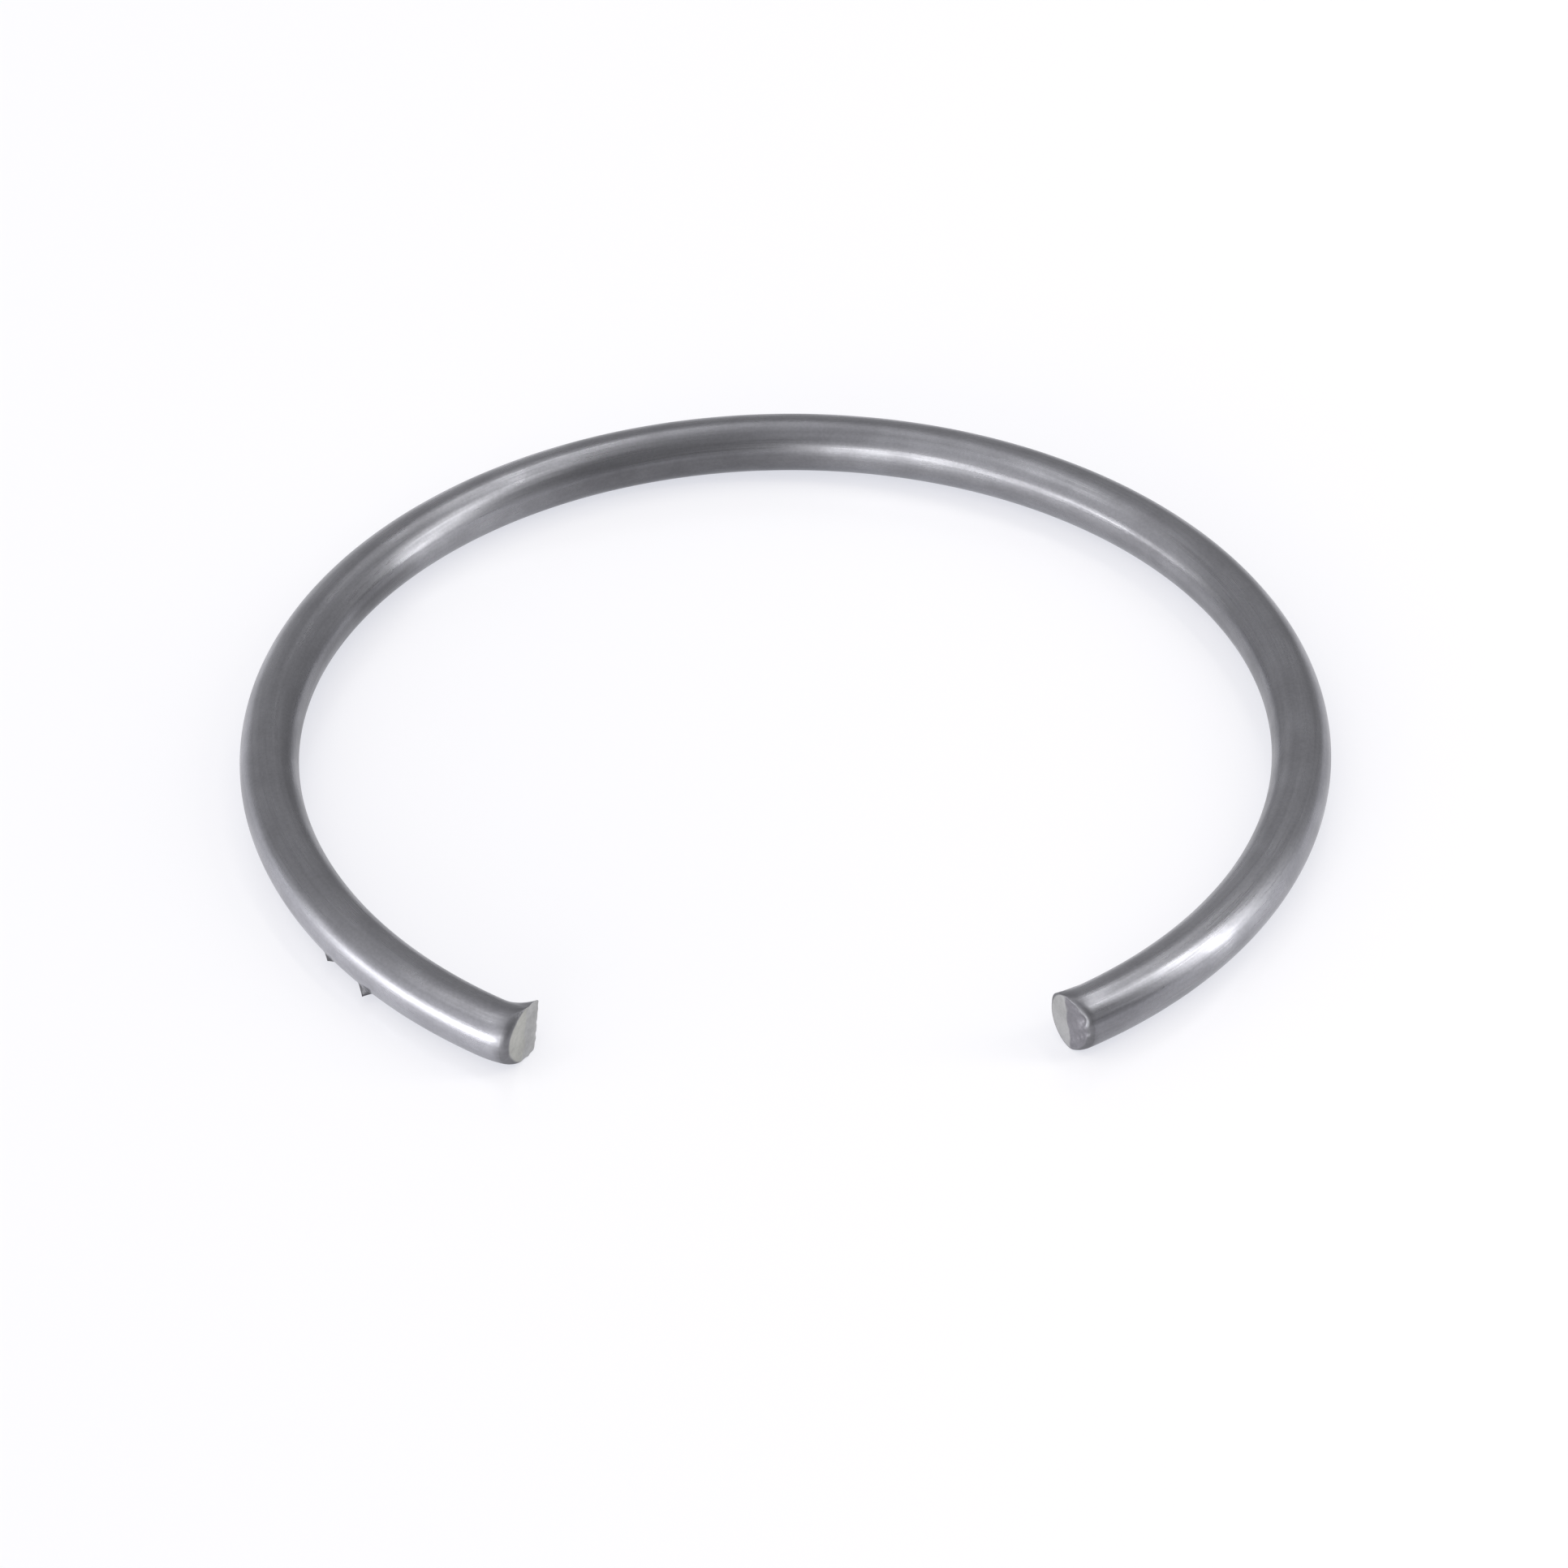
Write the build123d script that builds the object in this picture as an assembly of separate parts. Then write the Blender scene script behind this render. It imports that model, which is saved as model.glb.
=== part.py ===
"""Piston pin circlip: a plain ring of round spring wire, open at one side.

The ring is coiled from hard-drawn round wire and cropped off the coil by a shear. It is squeezed
shut, slipped into the piston's pin bore and let go, so that its outer half springs into a round
groove and its inner half stands in front of the pin's end.

Frame: origin at the ring's centre in the wire's mid plane, +Z along the pin bore, the mouth of
the ring towards -Y. Millimetres and degrees. Angles round the wire start at the side named.
"""
from build123d import *
import os
from math import atan2, cos, degrees, radians, sin

# --- Driving dimensions ------------------------------------------------------------------------
WIRE_DIAMETER = 1.2            # stock gauge of the spring wire
FREE_OUTER_DIAMETER = 22.0     # unstressed, before it is squeezed into its groove
LEFT_END_ANGLE = 30.0          # from the middle of the mouth, seen from the ring's centre
RIGHT_END_ANGLE = 30.6

# The left arm left the coiler first: it lies a little outside the true circle.
EASED_ARM_ANGLE = 45.0         # how much of the ring is eased
EASED_ARM_EXTRA_RADIUS = 0.55  # how much larger its bend radius is than the ring's

# Left end. The shear came from the outer side and dragged the tip along with it, until the
# anvil at the inner side pressed a flat on it.
TIP_DRAG = 0.10                # how far the tip is dragged out of line
TIP_DRAG_DIRECTION = 20.0      # upwards from the wire's inner side
TIP_DRAG_LENGTH = 0.70         # how much of the wire bends with it
LEFT_STROKE = -10.0            # the blade's way across the wire, upwards from its inner side
LEFT_ROLLOVER = 0.14           # rounding of the rim where the blade entered
LEFT_RIDGE = 0.05              # where the smooth cut ends, inwards from the wire's axis
LEFT_BREAK_SETBACK = 0.01      # how far the broken rest falls away by the inner side
FLAT_DIRECTION = -9.0          # upwards from the wire's inner side
FLAT_DEPTH = 0.10              # how much of the dragged wire it takes at the cut
FLAT_TILT = 5.0                # how much it leans out of the wire's line
FLAT_LENGTH = 0.50

# Right end. The inner half is cut smooth, the outer half broke away at a slant.
RIGHT_STROKE = -12.0           # as above
RIGHT_ROLLOVER = 0.10
RIGHT_RIDGE = 0.04             # inwards from the wire's axis
RIGHT_BREAK_SETBACK = 0.10     # how far the slanted half falls away by the outer side
PIT_FROM_RIDGE = 0.45          # a crumb torn out of the slanted half: towards the outer side
PIT_ABOVE_MIDDLE = 0.22
PIT_RADIUS = 0.11
PIT_DEPTH = 0.04

# Fins of burr that the shear squeezed out of the tips, each given by its direction upwards from
# the wire's inner side, how far it stands out of the wire at the cut, and its roundness.
LEFT_FINS = [
    (36.0, 0.13, 0.30),
    (-55.0, 0.10, 0.32),
]
RIGHT_FINS = [
    (36.0, 0.04, 0.36),
]
FIN_LENGTH = 0.60              # how far back along the wire a fin starts to rise

# Two flakes of drawn-up steel on the lower outer side of the left arm, each given by its
# distance back from the left end, its foot's length along the wire, its height, and its tip's
# lean towards the mouth.
FLAKE_DIRECTION = 38.0         # downwards from the wire's outer side
FLAKE_THICKNESS = 0.22
FLAKE_BLUNTNESS = 0.2          # how wide the tip is, as a share of the foot
FLAKES = [
    (4.78, 0.34, 0.09, 0.02),
    (3.61, 0.40, 0.17, 0.06),
]

# --- Worked-out dimensions ---------------------------------------------------------------------
wire_radius = WIRE_DIAMETER / 2
ring_radius = (FREE_OUTER_DIAMETER - WIRE_DIAMETER) / 2
eased_radius = ring_radius + EASED_ARM_EXTRA_RADIUS
right_angle = -90 + RIGHT_END_ANGLE
easing_angle = 270 - LEFT_END_ANGLE - EASED_ARM_ANGLE
left_angle = easing_angle + EASED_ARM_ANGLE * ring_radius / eased_radius
crop_allowance = WIRE_DIAMETER   # spare wire past each end, which the shear takes off
fin_overrun = 0.15 * WIRE_DIAMETER   # likewise for the fins
reach = 2 * WIRE_DIAMETER        # how far the shear's tool reaches past the wire's axis
UP = Vector(0, 0, 1)


def radial(angle):
    """Unit vector in the ring's plane, pointing away from the centre."""
    return Vector(cos(radians(angle)), sin(radians(angle)), 0)


eased_centre = radial(easing_angle) * -EASED_ARM_EXTRA_RADIUS


def eased_point(angle):
    """Point on the eased arm's axis, at an angle about the eased arm's own centre."""
    return eased_centre + radial(angle) * eased_radius


def towards_inside(angle, direction):
    """Unit vector across the wire: to its inner side, turned upwards by the direction."""
    return radial(angle) * -cos(radians(direction)) + UP * sin(radians(direction))


def dragged_tip():
    """Axis of the left tip: a tight arc that bends off the ring's line and past the cut."""
    bend_angle = left_angle - degrees(TIP_DRAG_LENGTH / eased_radius)
    bend_radius = TIP_DRAG_LENGTH**2 / (2 * TIP_DRAG)
    turn = (TIP_DRAG_LENGTH + crop_allowance) / bend_radius
    start, along = eased_point(bend_angle), radial(bend_angle + 90)
    sideways = towards_inside(bend_angle, TIP_DRAG_DIRECTION)

    def point(part):
        return start + (
            along * sin(part * turn) + sideways * (1 - cos(part * turn))
        ) * bend_radius

    return bend_angle, ThreePointArc(point(0), point(0.5), point(1))


def coil_wire():
    """The bent wire before cropping: a round section swept along three tangent arcs."""
    start = right_angle - degrees(crop_allowance / ring_radius)
    bend_angle, tip_arc = dragged_tip()
    ring_arc = CenterArc((0, 0), ring_radius, start, easing_angle - start)
    eased_arc = CenterArc(eased_centre, eased_radius, easing_angle, bend_angle - easing_angle)
    path = Wire([ring_arc.edge(), eased_arc.edge(), tip_arc.edge()])
    section = Plane(origin=path @ 0, z_dir=path % 0) * Circle(wire_radius)
    return sweep(section, path=path)


def end_plane(end, direction):
    """Plane of a cropped end: z out of the end, x across the wire in the direction given."""
    if end == "left":
        drag = towards_inside(left_angle, TIP_DRAG_DIRECTION) * TIP_DRAG
        angle, axis_point = left_angle, eased_point(left_angle) + drag
        into_mouth = radial(left_angle + 90)
    else:
        angle, axis_point = right_angle, radial(right_angle) * ring_radius
        into_mouth = radial(right_angle - 90)
    return Plane(origin=axis_point, x_dir=towards_inside(angle, direction), z_dir=into_mouth)


def burr_fin(end, direction, height, radius):
    """A fin: a round bar that leans out of the wire and runs a little past the cut."""
    plane = end_plane(end, direction)
    buried = wire_radius - radius
    straight = towards_inside(left_angle, TIP_DRAG_DIRECTION) * (-TIP_DRAG if end == "left" else 0)
    root = Plane(origin=plane.origin + straight, x_dir=plane.x_dir, z_dir=plane.z_dir)
    start = (root * Pos(buried, 0, -FIN_LENGTH)).position
    at_cut = (plane * Pos(buried + height, 0, 0)).position
    past_cut = start + (at_cut - start) * (1 + fin_overrun / FIN_LENGTH)
    sections = [
        Plane(origin=place, x_dir=plane.x_dir, z_dir=plane.z_dir) * Circle(radius)
        for place in (start, past_cut)
    ]
    return loft(sections)


def anvil_flat():
    """What the anvil pressed away: a block laid against the left tip's inner side."""
    block = Box(
        reach, 2 * reach, FLAT_LENGTH + reach,
        align=(Align.MIN, Align.CENTER, Align.MAX),
    )
    place = Pos(wire_radius - FLAT_DEPTH, 0, 0) * Rot(0, -FLAT_TILT, 0) * Pos(0, 0, reach)
    return end_plane("left", FLAT_DIRECTION) * place * block


def crop(wire, plane, ridge, outer_setback, inner_setback):
    """Shear off all that lies past one end.

    The cut is the same all the way through the wire, so it is one profile: two straight runs
    that meet at a ridge, from the outer side where the blade entered to the inner one.
    """
    outer_end = (-reach, -outer_setback / (wire_radius + ridge) * (reach + ridge))
    inner_end = (reach, -inner_setback / (wire_radius - ridge) * (reach - ridge))
    profile = Polyline(outer_end, (ridge, 0), inner_end, (reach, reach), (-reach, reach), close=True)
    side_on = Plane(origin=plane.origin, x_dir=plane.x_dir, z_dir=-plane.y_dir)
    waste = side_on * make_face(profile)
    return wire - extrude(waste, amount=reach, both=True)


def entry_run(plane, ridge, setback):
    """Plane of the run of a cut that the blade entered by, with its origin on the ridge."""
    slope = degrees(atan2(setback, wire_radius + ridge))
    return Plane(plane * Pos(ridge, 0, 0) * Rot(0, -slope, 0))


def roll_over(wire, run, size, ridge, clearance):
    """Round over the rim of an end where the blade entered.

    The tool is a ring round the end, square to the run of the cut that the blade entered by and
    set off towards the inner side: it bites deepest at the outer side and runs out to both sides
    of it. Its mouth flares by the clearance, so that it comes clear of the wire.
    """
    mouth = (wire_radius, 0)
    throat = (wire_radius + size + clearance, -size - clearance)
    profile = [
        TangentArc(mouth, throat, tangent=(1, 0)),
        Line(throat, (reach, throat[1])),
        Line((reach, throat[1]), (reach, reach)),
        Line((reach, reach), (mouth[0], reach)),
        Line((mouth[0], reach), mouth),
    ]
    axis_point = (run * Pos(size - ridge, 0, 0)).position
    side_on = Plane(origin=axis_point, x_dir=-run.x_dir, z_dir=run.y_dir)
    ring = revolve(side_on * make_face(profile), axis=Axis(axis_point, run.z_dir))
    return wire - ring


def pit(run):
    """The ball that leaves the pit, set so deep that it opens at the pit's radius."""
    ball_radius = (PIT_RADIUS**2 + PIT_DEPTH**2) / (2 * PIT_DEPTH)
    return run * Pos(-PIT_FROM_RIDGE, -PIT_ABOVE_MIDDLE, ball_radius - PIT_DEPTH) * Sphere(ball_radius)


def flake(distance, length, height, lean):
    """One flake: an oval spike that stands on the wire's lower outer side."""
    angle = left_angle - degrees(distance / eased_radius)
    down = radians(FLAKE_DIRECTION)
    plane = Plane(
        origin=eased_point(angle),
        x_dir=radial(angle + 90),
        z_dir=radial(angle) * cos(down) - UP * sin(down),
    )
    foot = plane * Pos(0, 0, wire_radius - height)
    tip = plane * Pos(lean, 0, wire_radius + height)
    blunt = FLAKE_BLUNTNESS
    return loft([
        foot * Ellipse(length / 2, FLAKE_THICKNESS / 2),
        tip * Ellipse(blunt * length / 2, blunt * FLAKE_THICKNESS / 2),
    ])


circlip = coil_wire()
for sizes in LEFT_FINS:
    circlip += burr_fin("left", *sizes)
for sizes in RIGHT_FINS:
    circlip += burr_fin("right", *sizes)
circlip -= anvil_flat()

left_plane = end_plane("left", LEFT_STROKE)
left_run = entry_run(left_plane, LEFT_RIDGE, 0)
circlip = crop(circlip, left_plane, LEFT_RIDGE, 0, LEFT_BREAK_SETBACK)
circlip = roll_over(circlip, left_run, LEFT_ROLLOVER, LEFT_RIDGE, 0.8 * TIP_DRAG)

right_plane = end_plane("right", RIGHT_STROKE)
right_run = entry_run(right_plane, RIGHT_RIDGE, RIGHT_BREAK_SETBACK)
circlip = crop(circlip, right_plane, RIGHT_RIDGE, RIGHT_BREAK_SETBACK, 0)
circlip = roll_over(circlip, right_run, RIGHT_ROLLOVER, RIGHT_RIDGE, 0.5 * RIGHT_ROLLOVER)
circlip -= pit(right_run)

for sizes in FLAKES:
    circlip += flake(*sizes)

circlip.label = "circlip"
os.makedirs("parts", exist_ok=True)
export_step(circlip, "parts/circlip.step")
print(f"circlip: {len(circlip.solids())} solid, {circlip.volume:.3f} mm3")
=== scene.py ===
"""Piston pin circlip: an open ring of round spring wire with sheared ends, on a white table."""

import bpy
import numpy as np
from mathutils import Matrix, Vector


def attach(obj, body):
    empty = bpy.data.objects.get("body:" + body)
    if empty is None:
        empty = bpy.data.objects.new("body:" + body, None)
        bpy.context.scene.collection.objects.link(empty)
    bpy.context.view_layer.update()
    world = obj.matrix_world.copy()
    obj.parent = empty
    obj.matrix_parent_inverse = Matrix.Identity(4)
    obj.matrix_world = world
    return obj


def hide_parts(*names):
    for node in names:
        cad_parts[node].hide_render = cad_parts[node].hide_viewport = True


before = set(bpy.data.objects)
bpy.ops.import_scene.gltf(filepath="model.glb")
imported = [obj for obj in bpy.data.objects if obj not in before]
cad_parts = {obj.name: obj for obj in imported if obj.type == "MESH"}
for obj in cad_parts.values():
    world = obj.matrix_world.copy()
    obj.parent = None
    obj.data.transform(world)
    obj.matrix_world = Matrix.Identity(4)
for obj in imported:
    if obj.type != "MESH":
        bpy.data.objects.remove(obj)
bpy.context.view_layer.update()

# --- Circlip ------------------------------------------------------------------------------------
# One length of hard-drawn round spring steel, coiled cold and cropped off the coil by a shear.
# The skin keeps the die's dark satin finish. Each end shows a smooth cut and a torn break, and
# the blade dragged the left tip along, drew fins of burr from it and left two flakes behind.

MM = 0.001                     # the circlip's sizes are in millimetres
WIRE_RADIUS = 0.597            # a hair under 1.2 mm wire, to stay inside the part's box
RING_RADIUS = 10.4             # of the wire's axis
RIGHT_ANGLE = np.radians(-59.4)     # of the right end, from +X towards +Y
EASING_ANGLE = np.radians(195.0)    # where the left arm leaves the true circle
EASED_ARC = np.radians(45.0)        # length of the left arm, as an arc of the ring
EASED_RADIUS = 10.95

RING_LENGTH = RING_RADIUS * (EASING_ANGLE - RIGHT_ANGLE)
WIRE_LENGTH = RING_LENGTH + RING_RADIUS * EASED_ARC

# How far the blade dragged the left tip. Directions are turned upwards from the inner side.
TIP_DRAG = 0.10
TIP_DRAG_DIRECTION = np.radians(20.0)
TIP_DRAG_LENGTH = 0.70

# The tips were squeezed between blade and anvil: fins of burr stand out of the wire, each given
# by its direction, height and roundness, and the anvil left a flat on the left tip.
FINS = {"left": [(np.radians(36.0), 0.13, 0.30), (np.radians(-55.0), 0.10, 0.32)],
        "right": [(np.radians(36.0), 0.04, 0.36)]}
FIN_LENGTH = 0.60
FIN_GROWTH = 1.6               # above 1, a fin grows faster towards the cut
FIN_ROOT = 3                   # a fin's root takes one part in this many of its length
FIN_CREASE = 0.02              # how softly a fin grows out of the round wire
FLAT_DIRECTION = np.radians(-9.0)
FLAT_DEPTH = 0.10
FLAT_LENGTH = 0.45
FLAT_REACH = 0.1               # least cosine from its direction at which the flat is felt

# Both cuts: the blade's way across the wire, the rounding where it entered, the ridge where the
# smooth cut ends, and how far the face falls away from it towards its outer and inner rim.
LEFT_CUT = dict(stroke=np.radians(-10.0), roll_length=0.20, roll_depth=0.14, ridge=0.05,
                outer_setback=0.0, inner_setback=0.01)
RIGHT_CUT = dict(stroke=np.radians(-12.0), roll_length=0.18, roll_depth=0.10, ridge=0.04,
                 outer_setback=0.10, inner_setback=0.0)
ROLL_REACH = 0.25              # how far past square to the blade's way the rounding runs, a cosine
SHARP_RIM = 0.001              # depth of the rounding where it has run out
AXIS_ZONE = 0.01               # within this radius a place has no clear direction
RIDGE_SOFTNESS = 0.012
RIDGE_WANDER, RIDGE_WANDER_SPACING = 0.02, 0.6
RIDGE_FADE = 0.05              # width of the band where smooth cut turns into torn
TORN_GRAIN, TORN_GRAIN_SPACING = 0.004, 0.16
GRAIN_SPREAD = 0.6, 1.8        # shortest and longest wave of a grain, in spacings
PIT, PIT_RADIUS, PIT_DEPTH = (-0.36, 0.30), 0.11, 0.04   # in the right end, x inwards and y up
CUT_EDGE = 0.006               # radius of the cut's edge
CUT_EDGE_ROWS = np.radians(np.array([30.0, 60.0, 90.0]))   # mesh rows round that edge
CUT_REACH = 1.3                # how far back the skin's mesh rows follow the cut's outline

# Skin carried over the rim fades out below one part in so many of the rounding's depth and of
# its strength. It also covers the right end's bent fin, in a strip of this width.
ROLLED_DEPTH, ROLLED_STRENGTH = 3, 4
FIN_STRIP = 0.03
ROLLED_LENGTH = 0.45           # how far back from the cut the skin is roughened by the blade, and painted darker

# Flakes: distance back from the left end, place round the wire upwards from its inner side,
# foot along and round the wire, height, and lean towards the mouth.
FLAKES = [
    (4.78, np.radians(218.0), 0.34, 0.22, 0.09, 0.02),
    (3.61, np.radians(218.0), 0.40, 0.24, 0.17, 0.06),
]
FLAKE_POINT = 1.2              # above 1, a flake's sides are hollow
FLAKE_FOOT = 0.012             # height above which the skin is wholly a flake's

COLUMNS = 128                  # of the mesh, round the wire
ROWS = 620                     # along it
CHORD_CELLS = 48               # across a cut face
CROWDING_STEPS = 6000          # places along the wire where the crowding of the rows is worked out
END_CROWDING, END_CROWDING_LENGTH = 6, 0.7     # more rows by an end, fading over this length
FLAKE_CROWDING, FLAKE_CROWDING_SHARE = 7, 0.8  # more rows by a flake, over this share of its foot


def wire_axis(s):
    """Axis of the wire at s along it from the right end, and the unit vectors outwards there.

    A circle, then a slightly larger circle that sets out along the same line.
    """
    eased = s > RING_LENGTH
    angle = np.where(eased, EASING_ANGLE + (s - RING_LENGTH) / EASED_RADIUS,
                     RIGHT_ANGLE + s / RING_RADIUS)
    radius = np.where(eased, EASED_RADIUS, RING_RADIUS)
    shift = np.where(eased, RING_RADIUS - EASED_RADIUS, 0.0)
    outwards = np.stack([np.cos(angle), np.sin(angle), 0 * angle], -1)
    easing = np.array([np.cos(EASING_ANGLE), np.sin(EASING_ANGLE), 0.0])
    return outwards * radius[..., None] + easing * shift[..., None], outwards


def bend(s, x, y):
    """Carry straight-wire points (s along, x to the inner side, y up) onto the bent wire.

    The tip's drag grows with the square of the way past its start, and the section is
    stretched along the drag by the slope, so that it stays round across the bent axis.
    """
    axis, outwards = wire_axis(s)
    past = np.clip(1 - (WIRE_LENGTH - s) / TIP_DRAG_LENGTH, 0, None)
    slope = 2 * TIP_DRAG / TIP_DRAG_LENGTH * past
    c, d = np.cos(TIP_DRAG_DIRECTION), np.sin(TIP_DRAG_DIRECTION)
    moved = (c * x + d * y) * (np.hypot(1, slope) - 1) + TIP_DRAG * past**2
    x, y = x + c * moved, y + d * moved
    up = np.array([0.0, 0.0, 1.0])
    return axis - outwards * x[..., None] + up * y[..., None]


def soft_step(t):
    """Rise from 0 to 1 as t does, level at both ends: three of its squares less two cubes."""
    t = np.clip(t, 0, 1)
    return t * t * (3 - 2 * t)


def rollover(x, y, stroke, roll_depth):
    """How far a place on a cut lies in its rounded rim, 0 to 1, and how strong the rounding is.

    It is deepest where the blade entered and runs out to both sides of that, by the cosine
    between the place's direction and the way back to the blade.
    """
    radius = np.hypot(x, y)
    facing = -(x * np.cos(stroke) + y * np.sin(stroke)) / np.maximum(radius, AXIS_ZONE)
    share = soft_step(facing + ROLL_REACH)
    rolled = np.clip(1 - (WIRE_RADIUS - radius) / (roll_depth * share + SHARP_RIM), 0, 1)
    return rolled, share


def cut_height(x, y, stroke, roll_length, roll_depth, ridge, outer_setback, inner_setback):
    """How far a cut face stands out of the wire's end at x, y across it.

    Two plane runs fall away from a softened ridge, and the rim is rounded over by a quarter
    ellipse on the side where the blade entered.
    """
    across = x * np.cos(stroke) + y * np.sin(stroke)
    run = across - ridge
    soft = np.hypot(run, RIDGE_SOFTNESS)
    inner = (soft + run) / 2 * inner_setback / (WIRE_RADIUS - ridge)
    outer = (soft - run) / 2 * outer_setback / (WIRE_RADIUS + ridge)
    rolled, share = rollover(x, y, stroke, roll_depth)
    return -inner - outer - roll_length * share * (1 - np.sqrt(1 - rolled**2))


def skin_radius(s, turn):
    """Radius of the wire's skin at s along it and turned upwards from its inner side.

    Round, plus what leaning round bars stand out of it near its ends, which are the fins, less
    what the anvil pressed flat.
    """
    radius = WIRE_RADIUS + 0 * turn
    for end, back in (("right", s), ("left", WIRE_LENGTH - s)):
        rise = np.clip(1 - back / FIN_LENGTH, 0, 1)
        for direction, height, bar_radius in FINS[end]:
            off = WIRE_RADIUS - bar_radius + height * rise**FIN_GROWTH
            side = np.minimum(np.abs(off * np.sin(turn - direction)), bar_radius)
            excess = off * np.cos(turn - direction) + np.sqrt(bar_radius**2 - side**2) - WIRE_RADIUS
            standing = (excess + np.hypot(excess, FIN_CREASE)) / 2
            radius = radius + standing * soft_step(rise * FIN_ROOT)
    pressed = np.clip(1 - (WIRE_LENGTH - s) / FLAT_LENGTH, 0, 1)
    facing = np.maximum(np.cos(turn - FLAT_DIRECTION), FLAT_REACH)
    limit = (WIRE_RADIUS - FLAT_DEPTH * pressed) / facing
    return radius - (radius - limit + np.hypot(radius - limit, FIN_CREASE * pressed)) / 2


def flakes(s, turn):
    """Height and lean of the flakes: spikes that fall off from their tips to an oval foot."""
    height, lean = 0 * s, 0 * s
    for back, place, length, width, tall, leaning in FLAKES:
        lengthwise = (s - (WIRE_LENGTH - back)) / (length / 2)
        round_wire = (np.mod(turn - place + np.pi, 2 * np.pi) - np.pi) * WIRE_RADIUS / (width / 2)
        spike = np.clip(1 - np.hypot(lengthwise, round_wire), 0, 1) ** FLAKE_POINT
        height = height + tall * spike
        lean = lean + leaning * spike
    return height, lean


def row_places():
    """Places of the mesh rows along the wire, closer together by the ends and the flakes.

    They are even steps of the summed crowding, which fades away from each end and stands as a
    bell curve over each flake.
    """
    s = np.linspace(0, WIRE_LENGTH, CROWDING_STEPS)
    near = np.minimum(s, WIRE_LENGTH - s)
    density = 1 + END_CROWDING * np.exp(-near / END_CROWDING_LENGTH)
    for back, _, length, *_ in FLAKES:
        off = (s - WIRE_LENGTH + back) / (FLAKE_CROWDING_SHARE * length)
        density += FLAKE_CROWDING * np.exp(-off ** 2)
    share = np.concatenate([[0], np.cumsum((density[1:] + density[:-1]) / 2)])
    return np.interp(np.linspace(0, share[-1], ROWS), share, s)


def end_cut(end):
    """The cut's sizes, its place along the wire and its way out of the wire, for one end."""
    return (RIGHT_CUT, 0.0, -1.0) if end == "right" else (LEFT_CUT, WIRE_LENGTH, 1.0)


def column_turns(s):
    """Turn of every mesh column: it starts at each cut's far side, so it twists a little."""
    start = RIGHT_CUT["stroke"] + (LEFT_CUT["stroke"] - RIGHT_CUT["stroke"]) * s / WIRE_LENGTH
    return start[:, None] + np.arange(COLUMNS) * (2 * np.pi / COLUMNS)


def skin_grid():
    """Skin of the wire in straight-wire points: rows along it by columns round it.

    Near an end the rows follow the outline of the cut, which is the cut's height at the skin.
    """
    s = row_places()
    turn = column_turns(s)
    s = s[:, None] + 0 * turn
    square = s
    for end in ("right", "left"):
        _, place, out = end_cut(end)
        follow = np.clip(1 - (place - square) * out / CUT_REACH, 0, 1) ** 2
        radius = skin_radius(np.full_like(turn, place), turn)
        outline = end_height(end, radius * np.cos(turn), radius * np.sin(turn)) - CUT_EDGE
        s = s + out * outline * follow
    radius = skin_radius(s, turn)
    height, lean = flakes(s, turn)
    return s + lean, (radius + height) * np.cos(turn), (radius + height) * np.sin(turn)


def waves(x, y, seed, spacing, count=16):
    """Uneven grain from -1 to 1 or so: a sum of sine waves that run every way across a face."""
    dice = np.random.default_rng(seed)
    heading = dice.uniform(0, 2 * np.pi, count)
    number = 2 * np.pi / (spacing * dice.uniform(*GRAIN_SPREAD, count))
    start = dice.uniform(0, 2 * np.pi, count)
    run = x[..., None] * np.cos(heading) + y[..., None] * np.sin(heading)
    return np.sin(run * number + start).sum(-1) / np.sqrt(count / 2)


def torn_share(end, x, y):
    """How far a place on a cut face lies in its torn part: 0 on the smooth cut, 1 past the ridge.

    The ridge wanders a little across the face.
    """
    sizes, _, _ = end_cut(end)
    side = 1 if end == "left" else -1
    run = x * np.cos(sizes["stroke"]) + y * np.sin(sizes["stroke"]) - sizes["ridge"]
    wander = RIDGE_WANDER * waves(x, y, seed=5, spacing=RIDGE_WANDER_SPACING)
    return soft_step(0.5 + (side * run + wander) / RIDGE_FADE)


def rolled_share(end, x, y):
    """How far a place on a cut face is skin carried round the rim by the blade.

    The right end's fin is bent over, so that it shows its skin as well.
    """
    sizes, _, _ = end_cut(end)
    rolled, share = rollover(x, y, sizes["stroke"], sizes["roll_depth"])
    skin = soft_step(rolled * ROLLED_DEPTH) * soft_step(share * ROLLED_STRENGTH)
    if end == "right":
        skin = np.maximum(skin, soft_step((np.hypot(x, y) - WIRE_RADIUS) / FIN_STRIP + 1))
    return skin


def end_height(end, x, y):
    """Height of an end's cut face: the cut, the torn part's grain, and the right end's pit."""
    sizes, _, _ = end_cut(end)
    height = cut_height(x, y, **sizes)
    grain = TORN_GRAIN * waves(x, y, seed=11, spacing=TORN_GRAIN_SPACING)
    height = height + grain * torn_share(end, x, y)
    if end == "right":
        height = height - PIT_DEPTH * np.exp(-(np.hypot(x - PIT[0], y - PIT[1]) / PIT_RADIUS) ** 2)
    return height


def edge_grid(end):
    """The rounded edge between skin and cut: a quarter circle's rows from one to the other."""
    _, place, out = end_cut(end)
    turn = column_turns(np.array([place]))
    lean = CUT_EDGE_ROWS[:, None]
    radius = skin_radius(np.full_like(turn, place), turn) - CUT_EDGE * (1 - np.cos(lean))
    x, y = radius * np.cos(turn), radius * np.sin(turn)
    return place + out * (end_height(end, x, y) - CUT_EDGE * (1 - np.sin(lean))), x, y


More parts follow.
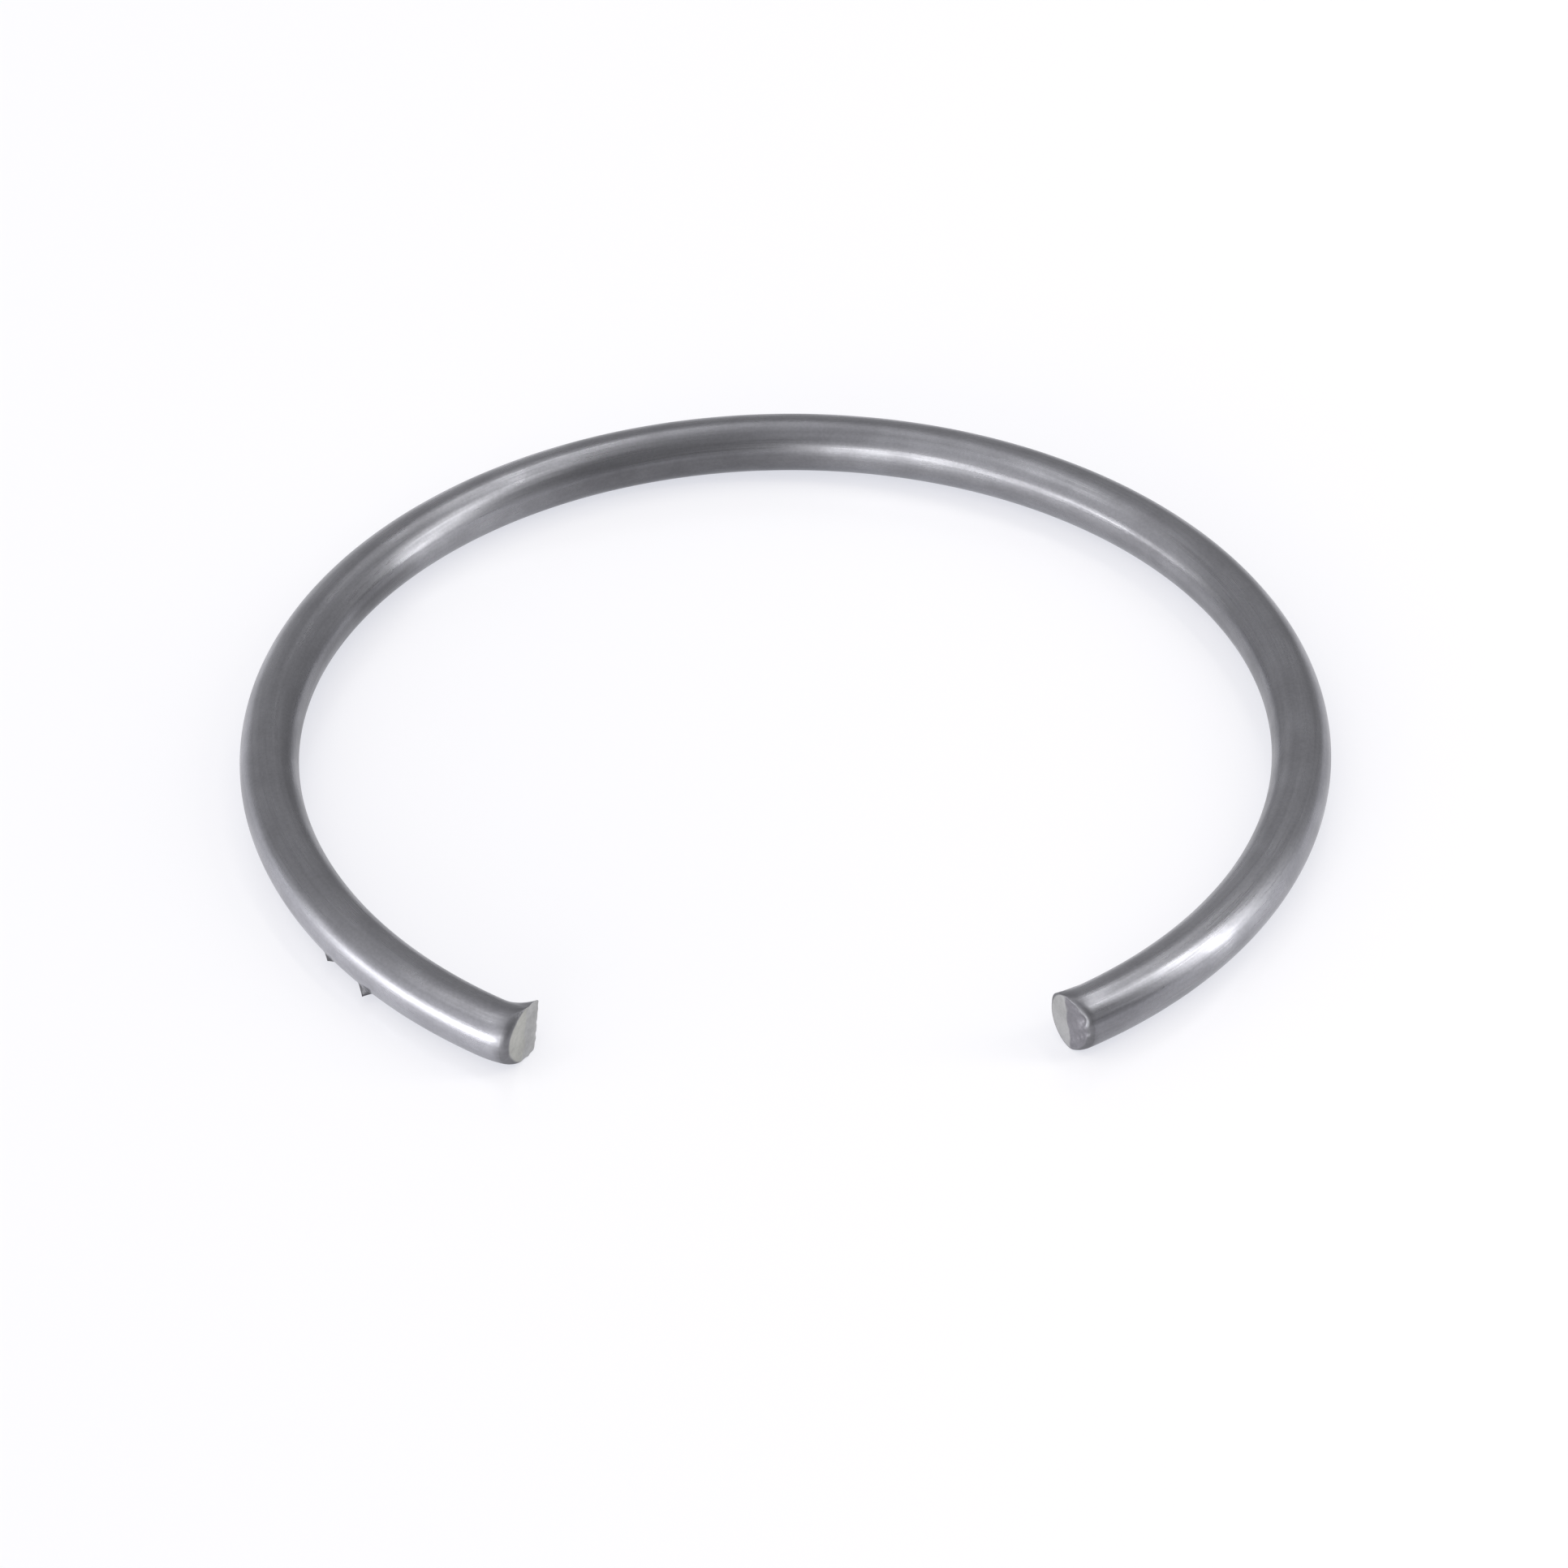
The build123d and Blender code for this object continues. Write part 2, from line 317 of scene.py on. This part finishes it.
def cut_grid(end, rim_x, rim_y):
    """Inside of a cut face: chords between facing rim points, straight across the blade's way.

    A chord's points lie at half of one minus the cosine of even steps, so that they crowd
    towards the rim.
    """
    _, place, out = end_cut(end)
    half = COLUMNS // 2
    share = (1 - np.cos(np.linspace(0, np.pi, CHORD_CELLS + 1)[None, 1:-1])) / 2
    first, last = slice(1, half), slice(COLUMNS - 1, half, -1)
    x = rim_x[first, None] * (1 - share) + rim_x[last, None] * share
    y = rim_y[first, None] * (1 - share) + rim_y[last, None] * share
    return place + out * end_height(end, x, y), x, y


def tube_faces(rows):
    """Quads of the tube's grid, closed round the wire, facing outwards."""
    index = np.arange(rows * COLUMNS).reshape(rows, COLUMNS)
    beside = np.roll(index, -1, axis=1)
    return np.stack([index[:-1], index[1:], beside[1:], beside[:-1]], -1).reshape(-1, 4)


def cut_faces(rim, first_inner):
    """Quads and end triangles of a cut face, from its rim's and its chords' vertex numbers."""
    half = COLUMNS // 2
    inner = first_inner + np.arange((half - 1) * (CHORD_CELLS - 1)).reshape(half - 1, -1)
    chords = np.concatenate([rim[1:half, None], inner, rim[:half:-1, None]], 1)
    quads = np.stack([chords[:-1, :-1], chords[:-1, 1:], chords[1:, 1:], chords[1:, :-1]], -1)
    start = np.stack([np.full(CHORD_CELLS, rim[0]), chords[0, 1:], chords[0, :-1]], -1)
    end = np.stack([np.full(CHORD_CELLS, rim[half]), chords[-1, :-1], chords[-1, 1:]], -1)
    return quads.reshape(-1, 4), np.concatenate([start, end])


def circlip_mesh():
    """The whole closed skin: right cut, right edge, wire, left edge, left cut.

    Its attributes tell the finish where on the straight wire a place is, and how far it is bare
    cut, skin rolled over the rim or roughened behind it, torn steel, or a flake.
    """
    right_edge = [grid[::-1] for grid in edge_grid("right")]
    tube = [np.concatenate(grids) for grids in zip(right_edge, skin_grid(), edge_grid("left"))]
    rows = len(tube[0])
    quads, tris, surfaces = [tube_faces(rows)], [], [tube]
    count = rows * COLUMNS
    for end, row in (("right", 0), ("left", rows - 1)):
        inner = cut_grid(end, tube[1][row], tube[2][row])
        q, t = cut_faces(row * COLUMNS + np.arange(COLUMNS), count)
        if end == "right":
            q, t = q[:, ::-1], t[:, ::-1]
        quads.append(q)
        tris.append(t)
        surfaces.append(inner)
        count += inner[0].size
    s, x, y = (np.concatenate([grid.reshape(-1) for grid in grids]) for grids in zip(*surfaces))

    skin = slice(rows * COLUMNS)
    left = s > WIRE_LENGTH / 2
    rolled, torn = (np.where(left, share("left", x, y), share("right", x, y))
                    for share in (rolled_share, torn_share))
    bare = 1 - rolled
    bare[skin] = 0
    back = np.where(left, WIRE_LENGTH - s, s)
    rolled[skin] *= 1 - soft_step(back[skin] / ROLLED_LENGTH)
    height, _ = flakes(s, np.arctan2(y, x))
    flake = soft_step(height / FLAKE_FOOT)

    mesh = bpy.data.meshes.new("circlip_wire")
    faces = np.concatenate(quads).tolist() + np.concatenate(tris).tolist()
    mesh.from_pydata((bend(s, x, y) * MM).tolist(), [], faces)
    mesh.polygons.foreach_set("use_smooth", np.ones(len(mesh.polygons), bool))
    place = mesh.attributes.new("straight_wire", "FLOAT_VECTOR", "POINT")
    place.data.foreach_set("vector", np.stack([x, y, s], -1).astype(np.float32).reshape(-1))
    for name, share in (("cut", bare), ("rolled", rolled), ("torn", torn), ("flake", flake)):
        layer = mesh.attributes.new(name, "FLOAT", "POINT")
        layer.data.foreach_set("value", share.astype(np.float32))
    return mesh


circlip = bpy.data.objects.new("circlip_wire", circlip_mesh())
bpy.context.scene.collection.objects.link(circlip)

# Finish: tones of the skin on the ring's inner, upper and outer sides, and of the cut faces.
# The sides' tones differ as painted light and shade. The outer side is painted paler, standing in
# for the bright table it reflects. The inner side is painted a little darker, standing in for the
# shaded table inside the ring.
INNER_TONE_AND_SHADE = (0.216, 0.216, 0.229)
UPPER_TONE = (0.232, 0.232, 0.246)
OUTER_TONE_AND_SHEEN = (0.304, 0.304, 0.326)     # paler: painted reflection of the bright table below the outer side
# The right end's torn part is painted dark: painted shade standing in for the shaded table it
# faces.
LEFT_CUT_TONES = (0.385, 0.385, 0.362), (0.40, 0.40, 0.40)      # smooth and torn
RIGHT_CUT_TONES_AND_SHADE = (0.42, 0.42, 0.42), (0.235, 0.23, 0.25)
ROLLED_PAINTED_SHADE = (0.17, 0.17, 0.18)       # painted dark reflection on the skin drawn over the rim and roughened behind it
ROLLED_COVER = 0.8                     # how much of that tone shows
FLAKE_TONE = (0.125, 0.125, 0.133)
BETWEEN_ENDS = 10.0, 20.0              # a stretch of the wire that lies away from both cuts

# Where one side passes into the next, in millimetres inwards or upwards from the wire's axis.
INNER_EDGE = 0.30, 0.55
OUTER_EDGE = -0.30, -0.56
LOW_INNER_EDGE = 0.22, 0.08
LOW_OUTER_EDGE = -0.44, -0.60

# Painted light and shade on the skin: its tone is raised and lowered along the wire where its
# reflections are to be brighter or darker. Each gives how many times the side's own tone it is at
# the right end, then where along the wire each change sets in and ends, and how large it is. What
# the two low parts have is added to their side's.
UPPER_PAINTED_LIGHT = 1.08, [(1.8, 3.2, 0.06), (3.6, 8.0, -0.14), (26.5, 28.5, -0.05), (31.0, 32.4, 0.14),
                     (34.0, 36.0, -0.10), (37.0, 41.0, -0.06), (47.0, 50.0, 0.06)]
INNER_PAINTED_LIGHT = 1.0, [(31.5, 34.0, 0.28), (35.8, 37.2, -0.56), (37.8, 39.0, 0.28)]
LOW_INNER_PAINTED_LIGHT = 0.0, [(12.0, 18.0, 0.22), (25.0, 27.5, -0.50), (31.0, 34.5, 0.14)]
OUTER_PAINTED_LIGHT = 0.82, [(2.4, 5.2, 0.17), (5.5, 8.5, -0.08), (38.0, 42.0, 0.10), (47.5, 50.0, -0.03)]
LOW_OUTER_PAINTED_LIGHT = 0.0, [(45.5, 50.0, 0.32)]

# Marks in the surface, as noise with so many cells a millimetre across the wire and along it,
# and the least and most that each changes the tone (by shares) and the roughness.
DIE_LINES = 9.0, 0.10
FINE_LINES = 30.0, 0.45
MOTTLE = 1.6, 0.9
GRIT = 16.0, 16.0
NOISE_DETAIL = 3.0
NOISE_RANGE = 0.3, 0.7                 # where nearly all of a noise's values lie
MOTTLE_SHADE = 0.90, 1.08
DIE_LINE_SHADE = -0.045, 0.045
GRIT_SHADE = -0.045, 0.045
SKIN_ROUGHNESS = 0.30
CUT_ROUGHNESS = 0.42
FINE_LINE_ROUGHNESS = -0.03, 0.05
MOTTLE_ROUGHNESS = 0.03, -0.03
ROLLED_ROUGHNESS = 0.16                # more than the skin's, as on the flakes
TORN_ROUGHNESS = 0.12                  # more than the smooth cut's

# Depths of the marks, as shares of the die lines' own, and that depth in metres.
FINE_LINE_RELIEF = 0.28
GRIT_RELIEF = 0.7, 3.0                 # on the skin and smooth cut, and on torn steel
RELIEF_DEPTH = 0.0000016

finish = bpy.data.materials.new("drawn_spring_steel")
finish.use_nodes = True
tree = finish.node_tree
shader = tree.nodes["Principled BSDF"]


def add(kind, inputs=None, **settings):
    """A node in the tree being built; each input is a value, or the output that feeds it."""
    made = tree.nodes.new(kind)
    for name, value in settings.items():
        setattr(made, name, value)
    for name, value in (inputs or {}).items():
        if isinstance(value, bpy.types.NodeSocket):
            tree.links.new(value, made.inputs[name])
        else:
            made.inputs[name].default_value = value
    return made


def blend(share, a, b):
    """Colour a turning into colour b as the share goes from 0 to 1."""
    ends = {k: (*v, 1) if isinstance(v, tuple) else v for k, v in (("A", a), ("B", b))}
    return add("ShaderNodeMix", {"Factor": share, **ends}, data_type="RGBA").outputs["Result"]


def ramp(value, low, high, start=0.0, end=1.0):
    """The value's way from low to high, softened, as a number from start to end."""
    inputs = {"Value": value, "From Min": low, "From Max": high, "To Min": start, "To Max": end}
    made = add("ShaderNodeMapRange", inputs, interpolation_type="SMOOTHSTEP")
    return made.outputs["Result"]


def maths(operation, total, *others):
    """Numbers put together by one operation, from left to right."""
    for other in others:
        total = add("ShaderNodeMath", {0: total, 1: other}, operation=operation).outputs["Value"]
    return total


def scaled(colour, share):
    """A colour made so many times as bright."""
    made = add("ShaderNodeVectorMath", {0: colour, "Scale": share}, operation="SCALE")
    return made.outputs["Vector"]


def mark(name):
    """The share that one of the mesh's attributes gives."""
    return add("ShaderNodeAttribute", attribute_name=name).outputs["Fac"]


def drift(start, changes):
    """A number that changes along the wire: each change sets in and ends at its two places."""
    return maths("ADD", start, *(ramp(along, first, last, 0.0, change)
                                 for first, last, change in changes))


def noise(across, lengthwise):
    """Noise on the straight wire, with so many cells a millimetre across it and along it."""
    cells = add("ShaderNodeMapping", {"Vector": straight, "Scale": (across, across, lengthwise)})
    inputs = {"Vector": cells.outputs["Vector"], "Detail": NOISE_DETAIL, "Scale": 1.0}
    return add("ShaderNodeTexNoise", inputs).outputs["Fac"]


straight = add("ShaderNodeAttribute", attribute_name="straight_wire").outputs["Vector"]
bare, torn, rolled, flake = mark("cut"), mark("torn"), mark("rolled"), mark("flake")
parts = add("ShaderNodeSeparateXYZ", {"Vector": straight}).outputs
inwards, upwards, along = parts["X"], parts["Y"], parts["Z"]
die_lines, fine_lines = noise(*DIE_LINES), noise(*FINE_LINES)
mottle, grit = noise(*MOTTLE), noise(*GRIT)

# Painted light and shade: the sides' tones, raised and lowered along the wire, stand in for
# brighter and darker reflections.
low_inner = maths("MULTIPLY", ramp(upwards, *LOW_INNER_EDGE), drift(*LOW_INNER_PAINTED_LIGHT))
inner = scaled(INNER_TONE_AND_SHADE, maths("ADD", low_inner, drift(*INNER_PAINTED_LIGHT)))
skin = blend(ramp(inwards, *INNER_EDGE), UPPER_TONE, inner)
skin = scaled(skin, drift(*UPPER_PAINTED_LIGHT))
low_outer = maths("MULTIPLY", ramp(inwards, *LOW_OUTER_EDGE), drift(*LOW_OUTER_PAINTED_LIGHT))
outer = scaled(OUTER_TONE_AND_SHEEN, maths("ADD", low_outer, drift(*OUTER_PAINTED_LIGHT)))
skin = blend(ramp(inwards, *OUTER_EDGE), skin, outer)
# Painted dark reflection on the rolled rim and on the roughened skin behind each cut, on top of
# their real extra roughness.
skin = blend(ramp(rolled, 0.0, 1.0, 0.0, ROLLED_COVER), skin, ROLLED_PAINTED_SHADE)
skin = blend(flake, skin, FLAKE_TONE)
# The right end's dark torn tone is painted shade.
right_face, left_face = blend(torn, *RIGHT_CUT_TONES_AND_SHADE), blend(torn, *LEFT_CUT_TONES)
tone = blend(bare, skin, blend(ramp(along, *BETWEEN_ENDS), right_face, left_face))
shade = maths("ADD", ramp(mottle, *NOISE_RANGE, *MOTTLE_SHADE),
              ramp(die_lines, *NOISE_RANGE, *DIE_LINE_SHADE),
              ramp(grit, *NOISE_RANGE, *GRIT_SHADE))
tree.links.new(scaled(tone, shade), shader.inputs["Base Color"])

dullness = maths("ADD", ramp(fine_lines, *NOISE_RANGE, *FINE_LINE_ROUGHNESS),
                 ramp(mottle, *NOISE_RANGE, *MOTTLE_ROUGHNESS),
                 ramp(bare, 0.0, 1.0, SKIN_ROUGHNESS, CUT_ROUGHNESS),
                 maths("MULTIPLY", maths("MAXIMUM", rolled, flake), ROLLED_ROUGHNESS),
                 maths("MULTIPLY", torn, maths("MULTIPLY", bare, TORN_ROUGHNESS)))
tree.links.new(dullness, shader.inputs["Roughness"])

gritty = ramp(maths("MULTIPLY", torn, bare), 0.0, 1.0, *GRIT_RELIEF)
relief = maths("ADD", die_lines, maths("MULTIPLY", fine_lines, FINE_LINE_RELIEF),
               maths("MULTIPLY", grit, gritty))
bump = add("ShaderNodeBump", {"Height": relief, "Strength": 1.0, "Distance": RELIEF_DEPTH})
tree.links.new(bump.outputs["Normal"], shader.inputs["Normal"])
shader.inputs["Metallic"].default_value = 1.0
circlip.data.materials.append(finish)

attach(circlip, "root")
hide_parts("circlip")

# --- Table --------------------------------------------------------------------------------------
# A plain white board that the circlip lies on. It is pale because it glows as well as being lit,
# as a board lit from below does, so the shadows on it are faint and a little blue.
TABLE_HEIGHT = -0.6 * MM
TABLE_HALF = 4.0               # metres
BOARD_TONE = (0.344, 0.327, 0.287)
BOARD_GLOW = (0.594, 0.607, 0.668)
BOARD_ROUGHNESS = 0.25

board = bpy.data.meshes.new("table")
corners = np.array([[-1, -1], [1, -1], [1, 1], [-1, 1]]) * TABLE_HALF
board.from_pydata([(x, y, TABLE_HEIGHT) for x, y in corners.tolist()], [], [(0, 1, 2, 3)])
table = bpy.data.objects.new("table", board)
bpy.context.scene.collection.objects.link(table)
paper = bpy.data.materials.new("white_board")
paper.use_nodes = True
tree = paper.node_tree
coat = tree.nodes["Principled BSDF"]
coat.inputs["Base Color"].default_value = (*BOARD_TONE, 1)
coat.inputs["Roughness"].default_value = BOARD_ROUGHNESS
coat.inputs["Emission Color"].default_value = (*BOARD_GLOW, 1)
rays = add("ShaderNodeLightPath").outputs
seen = maths("MAXIMUM", rays["Is Camera Ray"], rays["Is Glossy Ray"], rays["Is Transmission Ray"])
tree.links.new(seen, coat.inputs["Emission Strength"])
board.materials.append(paper)

# --- Light --------------------------------------------------------------------------------------
# A pale studio. A tall softbox stands close by on the right. A wide low one lies on the left,
# with a dimmer one in front of it and a small dim one behind, and two long ones hang overhead.

# Azimuth, elevation, width and height in degrees as the circlip sees it, radiance, how many
# degrees its top leans towards a larger azimuth, and distance in metres.
SOFTBOXES = {
    "softbox_right": (89.2, 27.8, 11.6, 50.5, 6.6, 8, 0.12),
    "softbox_above_right": (124, 64.4, 50, 5.4, 5, 4, 0.6),
    "softbox_left": (288.7, 1.3, 49.5, 14.5, 6.8, -7, 0.6),
    "softbox_front_left": (335, 11, 34, 24, 4, 0, 0.6),
    "softbox_far_left": (259, 10, 12, 12, 1.5, 0, 0.6),
    "softbox_above_left": (256.3, 59.4, 36.3, 6.7, 2.2, 25, 0.6),
}

# The studio's wall, and soft round patches of another grey on it: azimuth, elevation, where the
# patch ends and where it is full, in degrees from its middle, and its grey.
WALL = (0.593, 0.593, 0.609)
PATCHES = [
    (200, 70, 23, 4, 1.16),      # paler overhead
    (304, 37, 51, 30, 1.22),     # and at the front left
    (42, 21, 64, 32, 0.40),      # darker at the front right
    (147, 0, 32, 10, 0.42),      # and low at the back right
    (205, 12, 26, 4, 0.74),      # a little paler low at the back
]
PATCH_BLUE = 1.03                # a patch's blue, as a share of its grey


def towards(azimuth, elevation):
    """Unit vector to a place in the studio: azimuth from the camera's side towards +X."""
    a, e = np.radians(azimuth), np.radians(elevation)
    return Vector((np.sin(a) * np.cos(e), -np.cos(a) * np.cos(e), np.sin(e)))


for name, (azimuth, elevation, width, height, radiance, lean, distance) in SOFTBOXES.items():
    lamp = bpy.data.lights.new(name, "AREA")
    lamp.shape = "RECTANGLE"
    lamp.size = 2 * distance * float(np.tan(np.radians(width / 2)))
    lamp.size_y = 2 * distance * float(np.tan(np.radians(height / 2)))
    lamp.energy = radiance * np.pi * lamp.size * lamp.size_y
    holder = bpy.data.objects.new(name, lamp)
    out = towards(azimuth, elevation)
    facing = out.to_track_quat("Z", "Y").to_matrix().to_4x4()
    leaning = Matrix.Rotation(-np.radians(lean), 4, "Z")
    holder.matrix_world = Matrix.Translation(out * distance) @ facing @ leaning
    holder.visible_camera = False
    bpy.context.scene.collection.objects.link(holder)

world = bpy.data.worlds.new("studio")
bpy.context.scene.world = world
world.use_nodes = True
tree = world.node_tree
direction = add("ShaderNodeTexCoord").outputs["Generated"]
studio = WALL
for azimuth, elevation, edge, core, grey in PATCHES:
    cosine = add("ShaderNodeVectorMath", {0: direction, 1: towards(azimuth, elevation)},
                 operation="DOT_PRODUCT").outputs["Value"]
    patch = ramp(cosine, float(np.cos(np.radians(edge))), float(np.cos(np.radians(core))))
    studio = blend(patch, studio, (grey, grey, grey * PATCH_BLUE))
tree.links.new(studio, tree.nodes["Background"].inputs["Color"])

# --- Camera -------------------------------------------------------------------------------------
# A long lens from the front, looking down on the mouth of the ring. It stands a little to the
# left and is rolled a little.
CAMERA_AZIMUTH = -0.83         # degrees, from -Y towards +X
CAMERA_ELEVATION = 38.19
CAMERA_ROLL = -0.6255
CAMERA_DISTANCE = 0.17225      # metres, as are the next two
CAMERA_SIDEWAYS, CAMERA_UPWARDS = -0.000025, -0.000798
LENS = 196.03
NEAREST_SEEN = 0.01

swing, roll = np.radians(CAMERA_AZIMUTH), np.radians(CAMERA_ROLL)
away = towards(CAMERA_AZIMUTH, CAMERA_ELEVATION)
level = Vector((np.cos(swing), np.sin(swing), 0.0))
above = away.cross(level)
right = level * np.cos(roll) + above * np.sin(roll)
upward = above * np.cos(roll) - level * np.sin(roll)
eye = away * CAMERA_DISTANCE + right * CAMERA_SIDEWAYS + upward * CAMERA_UPWARDS
camera = bpy.data.objects.new("camera", bpy.data.cameras.new("camera"))
camera.data.lens = LENS
camera.data.clip_start = NEAREST_SEEN
camera.matrix_world = Matrix.Translation(eye) @ Matrix((right, upward, away)).transposed().to_4x4()
bpy.context.scene.collection.objects.link(camera)
bpy.context.scene.camera = camera
bpy.context.scene.view_settings.view_transform = "Standard"
